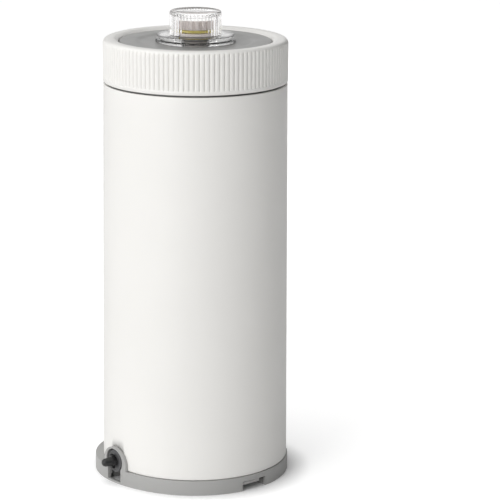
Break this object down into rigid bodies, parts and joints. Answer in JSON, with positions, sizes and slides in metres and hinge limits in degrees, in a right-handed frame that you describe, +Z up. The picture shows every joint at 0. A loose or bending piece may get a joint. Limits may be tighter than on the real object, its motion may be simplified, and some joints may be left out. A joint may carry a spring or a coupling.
{
  "type": "cartridge filter housing",
  "caption": "Upright cartridge filter housing: white shell on a grey base ring, ribbed collar over a grey lid, clear air knob, side hose ports and a front flush valve.",
  "frame": {"origin": "centre of the underside, on the tower's axis, where the base plate rests on the ground", "axes": "+Z up along the tower's axis, -Y towards the flush valve at the front, -X towards the two hose ports"},
  "size_m": [0.197, 0.1716, 0.3918],
  "materials": {
    "white_shell": "satin moulded",
    "white_collar": "satin ribbed",
    "grey_base": "satin moulded",
    "grey_lid": "satin moulded",
    "grey_tank": "satin moulded",
    "grey_port": "satin moulded",
    "dark_plastic": "satin moulded",
    "black_plastic": "satin moulded",
    "rubber_seal": "matt",
    "clear_knob": "clear moulded",
    "clear_seat": "clear moulded",
    "taupe_stem": "satin moulded",
    "yellow_ring": "satin moulded",
    "blue_cap": "soft moulded",
    "pleated_paper": "matt",
    "white_core": "satin moulded",
    "steel": "machined",
    "copper": "enamelled",
    "ferrite": "sintered"
  },
  "bodies": {
    "housing": {"base_ring": "grey_base", "base_plate": "grey_base", "base_latch": "grey_base", "body_shell": "white_shell", "filter_tank": "grey_tank", "volute_casing": "dark_plastic", "volute_cover": "dark_plastic", "motor_can": "black_plastic", "stator_core": "steel", "rotor_sleeve": "dark_plastic", "lower_bush": "white_core", "upper_bush": "white_core", "inlet_port": "grey_port", "outlet_port": "grey_port", "inlet_gasket": "rubber_seal", "outlet_gasket": "rubber_seal", "flush_valve_seat": "dark_plastic", "drain_tube": "rubber_seal", "cable_gland": "black_plastic", "terminal_block": "black_plastic", "foot_pad_1": "rubber_seal", "base_screw_1": "steel", "foot_pad_2": "rubber_seal", "base_screw_2": "steel", "foot_pad_3": "rubber_seal", "base_screw_3": "steel", "foot_pad_4": "rubber_seal", "base_screw_4": "steel", "stator_coil_1": "copper", "stator_coil_2": "copper", "stator_coil_3": "copper", "stator_coil_4": "copper", "stator_coil_5": "copper", "stator_coil_6": "copper", "cartridge_seat": "dark_plastic"},
    "rotor": {"rotor_shaft": "steel", "rotor_magnet": "ferrite", "impeller": "white_core"},
    "flush_plug": {"flush_valve_plug": "black_plastic"},
    "cartridge": {"cartridge_top_cap": "blue_cap", "cartridge_bottom_cap": "blue_cap", "cartridge_pleats": "pleated_paper", "cartridge_core": "white_core"},
    "lid": {"lid_cover": "grey_lid", "air_valve_seat": "clear_seat", "lid_seal": "rubber_seal"},
    "collar": {"lid_collar": "white_collar"},
    "air_knob": {"air_valve_knob": "clear_knob"},
    "air_stem": {"air_valve_stem": "taupe_stem", "air_valve_seal": "rubber_seal", "air_valve_ring": "yellow_ring"}
  },
  "joints": [
    {"name": "lid_lift", "type": "slide", "parent": "housing", "child": "lid", "axis": [0, 0, 1], "range_m": [0, 0.45]},
    {"name": "cartridge_lift", "type": "slide", "parent": "housing", "child": "cartridge", "axis": [0, 0, 1], "range_m": [0, 0.225]},
    {"name": "collar_turn", "type": "hinge", "parent": "lid", "child": "collar", "pos_m": [0, 0, 0.35], "axis": [0, 0, 1], "range_deg": [0, 450]},
    {"name": "air_knob_turn", "type": "hinge", "parent": "lid", "child": "air_knob", "pos_m": [0, 0, 0.38], "axis": [0, 0, 1], "range_deg": [0, 360]},
    {"name": "air_stem_lift", "type": "slide", "parent": "lid", "child": "air_stem", "axis": [0, 0, 1], "range_m": [0, 0.0025]},
    {"name": "flush_valve_turn", "type": "hinge", "parent": "housing", "child": "flush_plug", "pos_m": [0, -0.08, 0.0188], "axis": [0, -1, 0], "range_deg": [0, 90]},
    {"name": "rotor_spin", "type": "hinge", "parent": "housing", "child": "rotor", "pos_m": [0, 0, 0.06], "axis": [0, 0, 1], "continuous": true}
  ],
  "couplings": [
    {"joint": "cartridge_lift", "follows": "lid_lift", "ratio": 0.5},
    {"joint": "air_knob_turn", "follows": "air_stem_lift", "rad_per_m": 2513}
  ]
}
